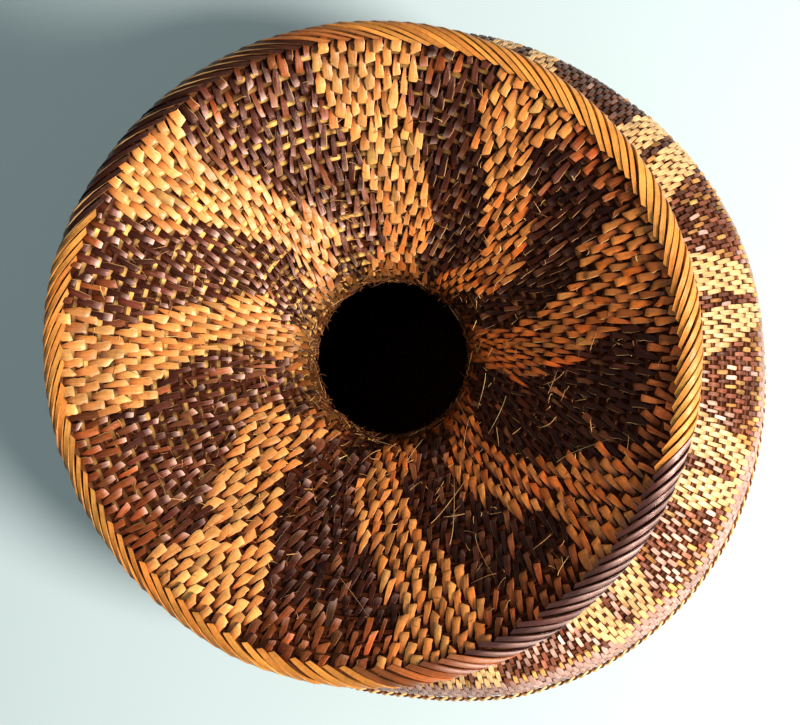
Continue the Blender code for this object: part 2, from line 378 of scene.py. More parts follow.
def strand_template(stations, ring):
    """Quads of a closed strand with this many stations and ring corners, and their UVs in a unit cell."""
    quads, uv = [], []
    margin, span = 0.06, 0.88
    side_margin, side_span = 0.03, 0.94
    for station in range(stations - 1):
        u0, u1 = (margin + span * (station + step) / (stations - 1) for step in (0, 1))
        here, ahead = station * ring, (station + 1) * ring
        for side in range(ring):
            v0, v1 = (side_margin + side_span * (side + step) / ring for step in (0, 1))
            after = (side + 1) % ring
            quads.append((here + side, ahead + side, ahead + after, here + after))
            uv.append([(u0, v0), (u1, v0), (u1, v1), (u0, v1)])
    cap_quads = ring // 2 - 1
    for end, first in ((0, 0), (1, (stations - 1) * ring)):
        u0, u1 = ((0.01, margin), (margin + span, 0.99))[end]
        for side in range(cap_quads):
            v0, v1 = (side_margin + side_span * (side + step) / cap_quads for step in (0, 1))
            corner = (side, side + 1, ring - 2 - side, ring - 1 - side)
            points = [(u0, v0), (u0, v1), (u1, v1), (u1, v0)]
            quads.append(tuple(first + c for c in (corner[::-1] if end else corner)))
            uv.append(points[::-1] if end else points)
    return np.array(quads), np.array(uv)


def inside_out(corners, quads):
    """Which strands have their faces turned in, by the sign of their volume."""
    count = len(corners)
    flat = corners.reshape(count, -1, 3)
    flat = flat - flat.mean(axis=1, keepdims=True)
    a, b, c, d = (flat[:, quads[:, corner]] for corner in range(4))
    volume = np.einsum("nqi,nqi->n", a, np.cross(b, c)) + np.einsum("nqi,nqi->n", a, np.cross(c, d))
    return volume < 0


def add_strands(name, corners, colours, material, nodes=()):
    """Closed strands: corners [strand, station, ring, 3], and colours for each corner or each station."""
    count, stations, ring = corners.shape[:3]
    quads, uv = strand_template(stations, ring)
    if colours.ndim == 3:
        colours = np.repeat(colours[:, :, None, :], ring, axis=2)
    parts = math.ceil(count / (most_triangles // (len(quads) * 2)))
    for part, rows in enumerate(np.array_split(np.arange(count), parts)):
        size = len(rows)
        grid = math.ceil(math.sqrt(size))
        cell = np.stack([np.arange(size) % grid, np.arange(size) // grid], axis=1)
        strand_uv = cell[:, None, None, :] + uv[None]
        polygons = quads[None] + (np.arange(size) * stations * ring)[:, None, None]
        turned = inside_out(corners[rows], quads)
        polygons[turned] = polygons[turned, :, ::-1]
        strand_uv[turned] = strand_uv[turned, :, ::-1]
        strand_uv = strand_uv.reshape(-1, 2)
        piece = name if parts == 1 else f"{name}_{part + 1}"
        add_piece(
            piece, corners[rows].reshape(-1, 3), polygons.reshape(-1, 4), colours[rows].reshape(-1, 3),
            strand_uv, strand_uv / grid, material, nodes if part == 0 else (),
        )


def shaded(base, count, spread, hue=0.06):
    """A colour for each strand round a base colour, lighter or darker and a little redder or yellower."""
    light = np.exp(rng.normal(0, spread, (count, 1)))
    warm = rng.normal(0, hue, (count, 1))
    tint = np.concatenate([1 + warm, 1 - warm * 0.4, 1 - warm], axis=1)
    return np.clip(np.asarray(base) * light * tint, 0.002, 0.98)


def recolour(colours, chosen, base, spread, hue=0.06, light=1.0):
    """Gives the chosen strands a colour round another base colour."""
    colours[chosen] = shaded(base, int(chosen.sum()), spread, hue) * light


# Forms of a float along its length: place, breadth blunt and pointed, and height over the wall's middle
lozenge = {
    "along": np.array([-1.0, -0.86, -0.45, 0.0, 0.45, 0.86, 1.0]),
    "blunt": np.array([0.72, 0.95, 1.0, 1.0, 1.0, 0.95, 0.72]),
    "pointed": np.array([0.35, 0.75, 1.0, 1.0, 1.0, 0.95, 0.72]),
    "high": np.array([-0.30, 1.15, 1.62, 1.72, 1.62, 1.15, -0.30]) * mm,
}
shingle = {
    "along": np.array([-1.30, -0.95, -0.60, -0.20, 0.25, 0.62, 0.88, 1.0, 1.05]),
    "blunt": np.array([0.55, 0.80, 0.94, 1.0, 1.02, 1.02, 0.98, 0.90, 0.62]),
    "pointed": np.array([0.06, 0.22, 0.50, 0.78, 1.0, 1.10, 1.10, 1.0, 0.70]),
    "high": np.array([-0.30, 0.55, 1.15, 1.65, 1.95, 2.10, 2.10, 1.90, 0.55]) * mm,
}
# The ring of a float's section: places across it, and how far each lies under the float's top
across_ring = np.array([-1.0, -0.80, 0.0, 0.80, 1.0, 0.85, 0.0, -0.85])
ring_drop = np.array([-0.22, -0.02, 0.0, -0.02, -0.22, -0.55, -0.55, -0.55]) * mm
left_edge, right_edge = 0, 4
# Painted shade: towards its tucked end, where it runs under its neighbour, a float is painted darker and
# redder
shade_hue = np.array([0.8, 1.25, 1.6])


def float_corners(frame_of, side, plan, form, rough):
    """Corners of flat floats: plan holds the place, size, turn, tilt and shape of each."""
    each = {key: values[:, None, None] for key, values in plan.items()}
    along = form["along"][None, :, None]
    pointed = plan["pointed"][:, None]
    breadth = form["blunt"][None] * (1 - pointed) + form["pointed"][None] * pointed
    left = breadth * (1 + rng.normal(0, rough, breadth.shape))
    right = breadth * (1 + rng.normal(0, rough, breadth.shape))
    ring_v = np.where(across_ring < 0, left[..., None], right[..., None]) * across_ring
    cut = each["cut"] * across_ring * np.clip(along, 0.4, 1)
    aside = ring_v * each["half_width"] + each["bow"] * along ** 2
    ahead = each["half_length"] * along + cut * each["half_width"]
    cos, sin = np.cos(each["turn"]), np.sin(each["turn"])
    s = each["s"] + each["way"] * (ahead * cos - aside * sin)
    over = ahead * sin + aside * cos
    angle = each["angle"] + over / frame_of(s)[0]
    high = form["high"][None, :, None] * each["relief"]
    rise = high + ring_drop + each["lift"] + each["tilt"] * ring_v
    return on_surface(frame_of, s, angle, side * rise)


def float_shades(colours, edges, stations, ends, tips=None):
    """Colours over each float: painted shade towards its tucked ends, painted highlights over its tips where
    tips are given, and its long edges in other colours.
    """
    share = np.linspace(0, 1, stations)
    # Painted shade along the float, from the given shade at each end to full colour between
    shade = np.interp(share, (0, 0.12, 0.42, 0.75, 1), (ends[0], ends[0], 0.85, 1, ends[1]))
    shade = shade[:, None] ** shade_hue
    shades = np.repeat(colours[:, None, None, :] * shade[None, :, None, :], len(across_ring), axis=2)
    if tips is not None:
        # Painted highlights: the colour runs into the tips' colour towards the float's end
        near_tip = np.interp(share, (0.55, 0.9), (0, 1))[None, :, None, None]
        shades = shades * (1 - near_tip) + tips[:, None, None, :] * near_tip
    shades = shades * (1 + rng.normal(0, 0.06, shades.shape[:3]))[..., None]
    for place, colour in edges:
        shades[:, :, place] = colour[:, None, :] * shade[None]
    return np.clip(shades, 0.001, 0.98)


def lozenge_shades(colours, lighter, darker, ends):
    """Colours over lozenges, with one long edge painted lighter as a highlight and the other painted darker
    as shade.
    """
    edges = ((left_edge, colours * lighter), (right_edge, colours * darker))
    return float_shades(colours, edges, len(lozenge["along"]), ends)


def rows_of(start, end, pitch):
    count = max(1, round(abs(end - start) / pitch))
    return between(start, end, (np.arange(count) + 0.5) / count)


def float_plan(zones, frame_of, length_share, width_share, way):
    """Places of the floats of a plain weave: one over every second rod, stepped from column to column."""
    parts, row_number = [], 0
    for start, end, pitch, columns in zones:
        for s in rows_of(start, end, pitch):
            index = np.arange(row_number % 2, columns, 2)
            same = np.array([[s], [pitch], [columns], [row_number]]) * np.ones(len(index))
            parts.append(np.concatenate([same, math.tau * index[None] / columns]))
            row_number += 1
    s, pitch, columns, rows, angle = np.concatenate(parts, axis=1)
    radius = frame_of(s)[0]
    column_width = math.tau * radius / columns
    count = len(s)
    return {
        "s": s + rng.normal(0, 0.05, count) * pitch,
        "angle": angle + rng.normal(0, 0.07, count) * column_width / radius,
        "half_length": pitch * length_share * (1 + rng.normal(0, 0.06, count)),
        "half_width": column_width * width_share * np.clip(1 + rng.normal(0, 0.09, count), 0.7, 1.3),
        "turn": rng.normal(0, math.radians(3), count),
        "lift": rng.normal(0, 0.08 * mm, count),
        "tilt": rng.normal(0, 0.08 * mm, count),
        "bow": rng.normal(0, 0.06 * mm, count),
        "cut": rng.normal(0, 0.18, count),
        "pointed": np.zeros(count),
        "relief": np.ones(count),
        "way": np.full(count, float(way)),
        "row": rows,
    }


# The mouth

# The swirl: each arm's start and width in degrees, how far it swings and how much it widens further in
swirl_arms = (
    (4, 22, 0.88, 0), (46.5, 17, 1.1, 0), (79.5, 20, 0.8, 2), (128.5, 19.5, 1.0, 0),
    (171, 20.5, 0.95, 0), (224, 21.5, 1.3, 9), (274.5, 20, 1.0, 1), (317, 20, 0.95, 0),
)
# By share of the way in: how far an arm's two edges swing, in degrees, and how much of its widening shows
left_swing = (
    (0, -1), (0.15, 2), (0.22, 3), (0.30, 0), (0.36, -3), (0.44, -6), (0.50, -8.5), (0.58, -11.5),
    (0.66, -16), (0.73, -18.5), (0.77, -18), (0.83, -13), (0.90, -9), (1.0, -5),
)
right_swing = (
    (0, 0), (0.15, 1), (0.25, 1), (0.33, -2), (0.40, -6), (0.48, -8.5), (0.55, -11.5), (0.62, -14.5),
    (0.70, -17), (0.76, -17.5), (0.83, -14), (0.90, -8), (1.0, 6),
)
arm_widening = ((0.35, 0), (0.5, 0.8), (0.7, 1), (0.85, 0.5), (1.0, 0))
# Round the mouth: how the floats lean, in degrees, and how pointed, wide, aslant, tilted and high they are
lean_round = (
    (0, 7), (30, 4), (60, 1), (80, 2), (98, 7), (118, 10), (136, 6), (155, 2), (185, -3), (212, 0), (240, 13),
    (300, 20), (335, 16),
)
pointed_round = ((0, 0.6), (60, 0.5), (95, 0.15), (130, 0.05), (190, 0.1), (225, 0.5), (300, 0.6))
width_round = ((0, 0.90), (60, 0.94), (95, 1.0), (200, 1.0), (240, 0.95), (300, 0.90))
dark_width_round = ((0, 0.74), (60, 0.76), (95, 0.70), (200, 0.72), (240, 0.78), (300, 0.76))
cut_round = ((0, 0.35), (90, 0.15), (200, 0.2), (280, 0.35))
tilt_round = ((0, -0.10), (90, 0.22), (180, 0.25), (270, 0.1))
fold_lift_round = ((60, 0.2), (95, 1.3), (255, 1.3), (280, 0.2))
# Round the mouth: how bright the rods, the floats' tips, their long edges and the tan arms are painted,
# brighter as painted light where the mouth is lit; some pale edges are the cane's own undyed edges
lit_rod_round = ((0, 0.0), (60, 0.1), (90, 0.4), (105, 0.9), (150, 0.9), (180, 0.6), (200, 0.2), (230, 0.0))
glint_round = ((0, 0.0), (50, 0.2), (85, 0.8), (120, 1.0), (200, 1.0), (240, 0.7), (270, 0.35), (310, 0.05))
pale_edge_round = ((0, 0.5), (60, 0.5), (110, 0.3), (190, 0.6), (240, 0.7), (300, 0.4))
arm_painted_light_round = ((0, 0.92), (60, 1.0), (140, 1.0), (180, 0.92), (220, 1.0), (255, 1.1), (310, 1.12))
# How much of the dyed cane is painted brown as lit rather than near black as in shade, and how orange the tan
# is, painted more orange in shade
umber_lit_round = ((0, 0.03), (60, 0.15), (95, 0.7), (130, 0.85), (205, 0.85), (235, 0.5), (275, 0.2), (320, 0.0))
orange_shade_round = (
    (0, 0.85), (60, 0.28), (95, 0.05), (120, 0.0), (205, 0.0), (250, 0.15), (290, 0.42), (325, 0.8),
)
# Which share of the dyed floats is ruddy by the way in; and of the rusty ones at the border, the share by
# degrees, how far in they reach and how much painted light brightens them
ruddy_in = ((0, 0.22), (0.55, 0.15), (0.68, 0.45), (0.8, 0.45), (0.9, 0.25), (1, 0.7))
rusty_round = ((0, 1), (47, 1), (60, 0.2), (185, 0.2), (195, 1))
rusty_depth_round = ((0, 0.09), (60, 0.09), (190, 0.17), (330, 0.17), (350, 0.09))
rusty_painted_light_round = ((0, 2.0), (40, 1.5), (60, 1.0), (120, 0.9), (250, 0.9), (300, 1.2), (335, 1.9))
# Stretches of the mouth by share of its depth, with the pitch of their rows and their columns
mouth_marks = (0.0, 0.27, 0.52, 0.74, 1.0)
mouth_pitches = (4.9 * mm, 4.9 * mm, 4.6 * mm, 4.0 * mm)
mouth_columns = (208, 184, 150, 116)
arm_tip_degrees = 2.4


def along_share(share, pairs):
    return np.interp(share, *zip(*pairs))


def in_swirl(degrees, share, rough):
    """Whether a place on the mouth lies on a tan arm, and how many degrees it is past the arm's start."""
    left, right, widening = (along_share(share, pairs) for pairs in (left_swing, right_swing, arm_widening))
    found = np.zeros(degrees.shape, dtype=bool)
    past = np.full(degrees.shape, 360.0)
    for start, width, swing, wider in swirl_arms:
        offset = (degrees - start - left * swing + rough + 180) % 360 - 180
        inside = (offset > 0) & (offset < width + (right - left) * swing + wider * widening)
        found |= inside
        past = np.where(inside, offset, past)
    return found, past


def lean_shift(s, degrees):
    """How far the columns have turned here by following the floats' lean down from the border."""
    stations = np.linspace(neck_s - 15 * mm, foot_s + 6 * mm, 200)
    turned = np.cumsum(1 / wall_frame(stations)[0]) * (stations[1] - stations[0])
    turned = np.interp(foot_s, stations, turned) - np.interp(s, stations, turned)
    return np.tan(np.radians(around(degrees, lean_round))) * turned


def mouth_colours(share, degrees, tan):
    """Colours of the mouth's splints, more orange towards the neck and rusty along the border, with painted
    light and shade: dyed cane brown where lit and near black in shade, tan more orange in shade.
    """
    count = len(share)
    # Painted light and shade: the dyed cane brown where the mouth is lit and near black where it is shaded
    umber_lit_share = np.clip(around(degrees, umber_lit_round) + rng.normal(0, 0.2, count), 0, 1)[:, None]
    colours = shaded(umber, count, 0.45) * umber_lit_share + shaded(sable, count, 0.35) * (1 - umber_lit_share)
    chance = rng.random(count)
    ruddy = (chance < along_share(share, ruddy_in)) & (chance < 0.12 + 0.6 * umber_lit_share[:, 0])
    recolour(colours, ruddy, brown, 0.4)
    rusty = (chance < around(degrees, rusty_round)) & (share < around(degrees, rusty_depth_round))
    # Painted light: the rusty floats painted brighter round the lit right of the border
    rusted = shaded(rust, count, 0.4) * around(degrees, rusty_painted_light_round)[:, None]
    colours[rusty] = rusted[rusty]
    # Painted shade: the tan turns orange on the mouth's shaded right, and also towards the neck
    warmth = np.clip((share - 0.45) * 0.9, 0, 1) + around(degrees, orange_shade_round)
    warmth = np.clip(warmth + rng.normal(0, 0.15, count), 0, 1)[:, None]
    golden = shaded(gold, count, 0.20) * (1 - warmth) + shaded(orange, count, 0.26) * warmth
    # Painted light: the tan arms painted lighter in some places and darker in others round the mouth
    golden *= around(degrees, arm_painted_light_round)[:, None]
    colours[tan] = golden[tan]
    return colours


def mouth_zones():
    """Stretches of the mouth from the border to the neck: start, end, row pitch and number of columns."""
    marks = foot_s - depth_s * np.array(mouth_marks)
    marks[0] += 1.5 * mm
    marks[-1] -= 1.0 * mm
    return tuple(zip(marks[:-1], marks[1:], mouth_pitches, mouth_columns))


def mouth_plan():
    """The floats inside the mouth, with a folded row under the border and a few rows in the throat."""
    throat = (neck_s - 1.0 * mm, neck_s - 15 * mm, 4.4 * mm, 112)
    fold = (foot_s + mouth_pitches[0], foot_s, mouth_pitches[0], mouth_columns[0])
    plan = float_plan((fold, *mouth_zones(), throat), wall_frame, 0.86, 0.53, -1)
    count = len(plan["s"])
    share = np.clip(mouth_share(plan["s"]), 0, 1)
    share[plan["s"] < neck_s] = 1.0
    degrees = np.degrees(plan["angle"]) % 360
    lean = around(degrees, lean_round)
    beside = lean_shift(plan["s"], degrees + 1) - lean_shift(plan["s"], degrees - 1)
    plan["half_width"] *= np.clip(1 + beside / math.radians(2), 0.75, 1.25)
    plan["angle"] += lean_shift(plan["s"], degrees)
    degrees = np.degrees(plan["angle"]) % 360
    tan, past = in_swirl(degrees, share, rng.normal(0, 0.55, count))
    tan |= (share > 0.95) & (rng.random(count) < 0.6)
    plan["turn"] += np.radians(lean)
    mess = np.interp(share, (0, 0.6, 0.85, 1), (0.9, 1.0, 1.8, 3.0)) * np.where(tan, 0.9, 2.0)
    plan["turn"] += np.radians(rng.normal(0, 3.6, count)) * mess
    plan["half_width"] *= np.clip(1 + rng.normal(0, 0.07, count) * mess, 0.5, 1.5)
    plan["half_length"] *= np.clip(1 + rng.normal(0, 0.06, count) * mess, 0.6, 1.35)
    plan["lift"] += rng.normal(0, 0.09 * mm, count) * mess
    pointed = around(degrees, pointed_round) + rng.normal(0, 0.2, count) + 0.2 * (share > 0.5)
    plan["pointed"] = np.clip(pointed, 0, 1)
    arm_tip = tan & (past < arm_tip_degrees)
    plan["pointed"][arm_tip] = 1.0
    plan["half_length"][arm_tip] *= 1.22
    plan["half_width"] *= np.where(tan, around(degrees, width_round), around(degrees, dark_width_round))
    plan["lift"] += np.where(tan, 0.05, -0.15) * mm
    plan["cut"] += rng.normal(0, 1, count) * around(degrees, cut_round)
    plan["tilt"] += around(degrees, tilt_round) * mm
    plan["relief"] = np.interp(share, (0, 0.85, 1.0), (1.0, 0.95, 0.75))
    folded = plan["row"] == 0
    plan["half_length"][folded] *= 0.62
    plan["lift"][folded] += around(degrees[folded], fold_lift_round) * mm
    plan["pointed"][folded] = 0
    return plan, share, degrees, tan


def weave_mouth():
    """The floats inside the mouth, laid like shingles towards the neck."""
    plan, share, degrees, tan = mouth_plan()
    count = len(share)
    colours = mouth_colours(share, degrees, tan)
    # Long edges: one painted lighter as a highlight, on some floats pale, the other painted darker as shade;
    # the pale edge of dyed floats is partly their own undyed edge
    showing = rng.random(count) < np.where(tan, 0.5, around(degrees, pale_edge_round))
    lit_edge = colours * 1.2
    recolour(lit_edge, showing, pale_edge, 0.3, light=np.where(tan[showing], 1.1, 0.8)[:, None])
    # Painted highlights: a pinkish flash on the tips of most dyed floats, strongest where the dyed cane is
    # painted lit, and a pale glint on the tan tips on the lit side
    tip_highlight = (rng.random(count) < 0.7) * around(degrees, umber_lit_round) * rng.uniform(0.2, 1.9, count) + 0.004
    glint = (rng.uniform(0.0, 0.5, count) * around(degrees, glint_round))[:, None]
    tan_tip_highlights = colours * 1.05 * (1 - glint) + np.asarray(pale_tip_highlight) * colours[:, :1] / 0.72 * glint
    dark_tip_highlights = colours * 1.3 + np.asarray(pink_highlight) * tip_highlight[:, None]
    tips = np.where(tan[:, None], tan_tip_highlights, dark_tip_highlights)
    # Painted shade in the throat: all the floats' colours darken towards the neck
    throat_shade = np.interp(share - 0.05 * tan, (0.83, 0.93), (1, 0.2))[:, None]
    colours, tips, lit_edge = (colour * throat_shade for colour in (colours, tips, lit_edge))
    edges = ((left_edge, lit_edge), (right_edge, colours * 0.7))
    shades = float_shades(colours, edges, len(shingle["along"]), (0.22, 1.0), tips)
    corners = float_corners(wall_frame, -1, plan, shingle, 0.09)
    add_strands("mouth_tan_floats", corners[tan], shades[tan], "tan", ("mouth_wall",))
    add_strands("mouth_dark_floats", corners[~tan], shades[~tan], "dark")


def weave_back():
    """The floats on the back of the mouth and round the neck."""
    marks = (neck_s - 7 * mm, *(neck_s + depth_s * np.array([0.2, 0.48, 0.76])), edge_s - 2 * mm)
    pitches = (4.2 * mm, 4.3 * mm, 4.3 * mm, 4.3 * mm)
    zones = tuple(zip(marks, marks[1:], pitches, (118, 160, 220, 270)))
    plan = float_plan(zones, wall_frame, 0.90, 0.50, 1)
    share = np.clip(mouth_share(plan["s"]), 0, 1)
    degrees = np.degrees(plan["angle"]) % 360
    tan, _ = in_swirl(degrees, share, rng.normal(0, 0.5, len(share)))
    colours = mouth_colours(share, degrees, tan)
    shades = lozenge_shades(colours, 1.2, 0.75, (0.6, 0.6))
    corners = float_corners(wall_frame, 1, plan, lozenge, 0.04)
    add_strands("back_tan_floats", corners[tan], shades[tan], "tan", ("neck_wall",))
    add_strands("back_dark_floats", corners[~tan], shades[~tan], "dark")


# The body

# The paired trapezoids: degrees from pair to pair, the middle of the first pair, and where their tops end
pair_period = 30
pair_first = 10.3
trapezoid_top_s = collar_s - 4 * mm
# Stretches of the body: start, end, row pitch and number of columns
body_rows = (
    (3 * mm, knot_s[1], 4.2 * mm, 236),
    (knot_s[1], knot_s[2], 4.2 * mm, 330),
    (knot_s[2], belly_s + 59 * mm, 4.2 * mm, 440),
    (belly_s + 59 * mm, collar_s, 4.2 * mm, 330),
    (collar_s, collar_s + 26 * mm, 4.2 * mm, 216),
    (collar_s + 26 * mm, neck_s - 7 * mm, 4.2 * mm, 140),
)
# Round the body: how grey the dyed cane is painted in shade at the dim top right, the share of floats painted
# pinkish as highlights, where amber floats paint a warm side light, and the painted light
shade_grey_round = ((25, 0), (45, 1), (100, 1), (130, 0))
blush_highlight_round = ((0, 0.15), (40, 0.04), (100, 0.04), (270, 0.6), (315, 0.7), (345, 0.25))
warm_light_round = ((0, 1), (40, 0.5), (70, 0), (300, 0), (350, 1))
body_painted_light_round = ((0, 1.05), (40, 1.0), (270, 1.0), (295, 1.35), (335, 1.35))


def band_top(degrees):
    """Where the plain band ends above the belly: the whole pattern hangs a little to one side."""
    return belly_s + (9 + 12 * np.cos(np.radians(degrees) - wale_high_side)) * mm


def in_trapezoid(degrees, s):
    """Whether a place on the body lies on one of the paired tan trapezoids."""
    offset = (degrees - pair_first + pair_period / 2) % pair_period - pair_period / 2
    number = np.round((degrees - pair_first - offset) / pair_period).astype(int) % 12
    foot = band_top(degrees) + np.sin(number * 2.4 + (offset > 0) * 1.9) * 1.5 * mm
    rise = (s - foot) / (trapezoid_top_s - foot)
    wide = np.interp(rise, (0, 0.5, 1.0), (4.4, 10.0, 12.0)) + np.sin(number * 1.7 + (offset > 0) * 2.2) * 0.5
    thin = np.interp(rise, (0, 0.4), (0.7, 1.35))
    return (rise > 0) & (rise < 1) & (abs(offset) > thin) & (abs(offset) < wide)


def weave_body():
    """The floats of the body: tan trapezoids in pairs on brown, a mauve band and a plain lower wall."""
    plan = float_plan(body_rows, wall_frame, 0.90, 0.54, 1)
    s = plan["s"]
    count = len(s)
    degrees = np.degrees(plan["angle"])
    above = s - band_top(degrees)
    tan = in_trapezoid(degrees, s)
    plain = above < 0
    low = s < knot_s[2]
    chance = rng.random(count)
    # Painted shade: the dyed cane turns greyer where the body is dim, at the top right
    shade_greyer = around(degrees, shade_grey_round)[:, None]
    colours = shaded(earth, count, 0.35) * (1 - shade_greyer) + shaded(shaded_earth, count, 0.3) * shade_greyer
    # Painted highlights: pinkish floats, most on the lower right
    recolour(colours, chance < around(degrees, blush_highlight_round), blush_highlight, 0.3)
    # Painted warm side light: some amber floats on the body's right
    recolour(colours, (chance > 0.75) & (around(degrees, warm_light_round) > 0.4), amber, 0.3, light=0.7)
    recolour(colours, plain, mauve, 0.07, 0.03)
    recolour(colours, (above > 0) & (above < 4.4 * mm) & (chance < 0.7), amber, 0.22)
    recolour(colours, low, earth, 0.2)
    # Painted light: the body's colours lighter round the lit lower right
    colours *= around(degrees, body_painted_light_round)[:, None]
    recolour(colours, tan, straw, 0.07, 0.03)
    plan["half_width"] *= np.where(tan, 1.0, np.where(plain, 1.12, 0.82))
    plan["half_length"] *= np.where(plain, 1.15, np.where(tan, 1.0, 0.74))
    plan["lift"] += np.where(tan, 0.06, -0.05) * mm
    plan["relief"] = np.where(plain & ~low, 0.75, 1.0)
    plan["turn"] += math.radians(2)
    # Long edges painted lighter and darker, and tucked ends painted darker, as light and shade
    shades = lozenge_shades(colours, 1.12, 0.78, (0.5, 0.6))
    corners = float_corners(wall_frame, 1, plan, lozenge, 0.03)
    kinds = (
        ("body_tan_floats", tan, "tan", "shoulder_weave", ("shoulder_wall", "collar_wall")),
        ("body_brown_floats", ~tan, "dark", "belly_weave", ("belly_wall", "lower_wall", "turn_up_wall")),
    )
    for name, chosen, material, slot, nodes in kinds:
        add_strands(name, corners[chosen], shades[chosen], material, nodes)


# The base: the pitch of its rounds, where they change, their columns, and the pitch of the crossed start
base_pitch = 4.2 * mm
base_marks = (base_start_radius, 46 * mm, 64 * mm, 84 * mm)
base_columns = (90, 130, 190)
start_pitch = 4.4 * mm


def weave_base():
    """The floats under the base, round a start of crossed splints."""
    pitches = (base_pitch,) * len(base_columns)
    zones = tuple(zip(base_marks, base_marks[1:], pitches, base_columns))
    plan = float_plan(zones, floor_frame, 0.86, 0.48, 1)
    plan["lift"] -= 0.30 * mm
    shades = lozenge_shades(shaded(root_tan, len(plan["s"]), 0.2), 1.1, 0.8, (0.6, 0.6))
    corners = float_corners(floor_frame, 1, plan, lozenge, 0.03)
    corners[..., 2] = np.maximum(corners[..., 2], 0)
    add_strands("base_floats", corners, shades, "tan", ("base_floor",))
    most = int(base_start_radius / start_pitch)
    reach = range(-most, most + 1)
    cells = [(column, row) for column in reach for row in reach]
    start_reach = base_start_radius - 0.5 * mm
    places = np.array([cell for cell in cells if math.hypot(*cell) * start_pitch < start_reach])
    turned = (places.sum(axis=1) % 2 > 0)[:, None, None]
    breadth = lozenge["blunt"][:, None] * across_ring[None] * start_pitch * 0.46
    ahead = np.broadcast_to(lozenge["along"][:, None] * start_pitch * 0.9, breadth.shape)
    z = np.maximum(half_wall - lozenge["high"][:, None] - ring_drop[None] + 0.25 * mm, 0)
    x = places[:, 0, None, None] * start_pitch + np.where(turned, ahead[None], breadth[None])
    y = places[:, 1, None, None] * start_pitch + np.where(turned, -breadth[None], ahead[None])
    start = np.stack([x, y, np.broadcast_to(z[None], x.shape)], axis=-1)
    shades = lozenge_shades(shaded(root_tan, len(places), 0.15), 1.1, 0.8, (0.6, 0.6))
    add_strands("base_start_floats", start, shades, "tan", ("base_start",))


# Rods, cores and the hoop

rod_ring, rod_steps, rod_arcs = 6, 40, 6
body_rod_light = ((0, 0.5),)


def add_rods(name, zones, radius, sink, pale, deep, lit_round):
    """Thin round rods, one ring for each row, in arcs that drift between a pale and a deep colour: partly the
    cane's own tone, partly painted light and shade, paler where the mouth is lit.
    """
    turns = math.tau * np.arange(rod_ring) / rod_ring
    spread = np.zeros((rod_steps, rod_ring))
    corners, colours = [], []
    for s in np.concatenate([rows_of(start, end, pitch) for start, end, pitch, _ in zones]):
        for arc in range(rod_arcs):
            angles = math.tau * (arc + np.linspace(0, 1, rod_steps)) / rod_arcs
            places = s + radius * np.cos(turns) + spread
            out = sink + radius * 0.9 * np.sin(turns) + spread
            corners.append(on_surface(wall_frame, places, angles[:, None] + spread, out))
            # Painted light: the rods turn pale more often where the mouth is lit
            light = around(np.degrees(angles), lit_round)
            wave = np.clip(light * rng.normal(0.30, 0.65, rod_steps), 0, 1)[:, None]
            colours.append(np.asarray(pale)[None] * wave + np.asarray(deep)[None] * (1 - wave))
    add_strands(name, np.array(corners), np.array(colours), "rod")


def add_all_rods():
    add_rods(
        "mouth_rods", mouth_zones(), 1.1 * mm, -0.3 * mm, mouth_rod_pale, mouth_rod_deep,
        lit_rod_round,
    )
    add_rods(
        "body_rods", body_rows, 0.95 * mm, 0.0, body_rod_pale, body_rod_deep,
        body_rod_light,
    )


ring_segments = 240
ring_angles = math.tau * np.arange(ring_segments)[:, None] / ring_segments


def ring_piece(name, rings, shade, material, nodes=()):
    """A closed outline carried round the axis, as corners [segment, place, 3]."""
    segments, count = rings.shape[:2]
    corners = rings.reshape(-1, 3)
    grid = np.meshgrid(np.arange(segments), np.arange(count), indexing="ij")
    segment, place = (part.ravel() for part in grid)
    here, ahead, after = segment * count, (segment + 1) % segments * count, (place + 1) % count
    quads = np.stack([here + place, ahead + place, ahead + after, here + after], axis=1)
    u0, u1, v0, v1 = segment / segments, (segment + 1) / segments, place / count, (place + 1) / count
    uv = np.stack([np.stack(pair, axis=-1) for pair in ((u0, v0), (u1, v0), (u1, v1), (u0, v1))], axis=1)
    if inside_out(corners[None, :, None, :], quads)[0]:
        quads, uv = quads[:, ::-1], uv[:, ::-1]
    shades = np.tile(shade, (len(corners), 1))
    add_piece(name, corners, quads, shades, uv.reshape(-1, 2), uv.reshape(-1, 2), material, nodes)


def lathed(radius, height):
    """An outline of radii and heights at every ring angle."""
    shape = np.broadcast_shapes(radius.shape, ring_angles.shape)
    return turned_round(radius, ring_angles, np.broadcast_to(height, shape))


def add_cores():
    """The thin dark core of the wall behind the floats and that of the base, dark sheets that paint the shade
    seen through the weave's gaps, and the hoop inside the border, dark to paint the shade between the strips.
    """
    stations = np.linspace(0.2 * mm, edge_s + 2 * mm, 150)
    s = np.concatenate([stations[::-1], stations])[None]
    half = np.repeat((0.35, -0.35), len(stations))[None] * mm
    core = on_surface(wall_frame, s, ring_angles, half)
    core[..., 2] = np.maximum(core[..., 2], 0.4 * mm)
    ring_piece("wall_shade_core", core, core_shade_brown, "gap_shade")
    base = lathed(np.array([81, 81, 0.02, 0.02])[None] * mm, np.array([2.3, 1.1, 1.1, 2.3])[None] * mm)
    ring_piece("base_shade_core", base, core_shade_brown, "gap_shade")
    turns = math.tau * np.arange(12)[None] / 12
    radius = hoop_ring_radius + hoop_radius * np.cos(turns) + border_out(np.degrees(ring_angles))
    hoop = lathed(radius, hoop_height + hoop_radius * np.sin(turns))
    ring_piece("hoop", hoop, hoop_shade_brown, "rod", ("rim_hoop",))


# The border

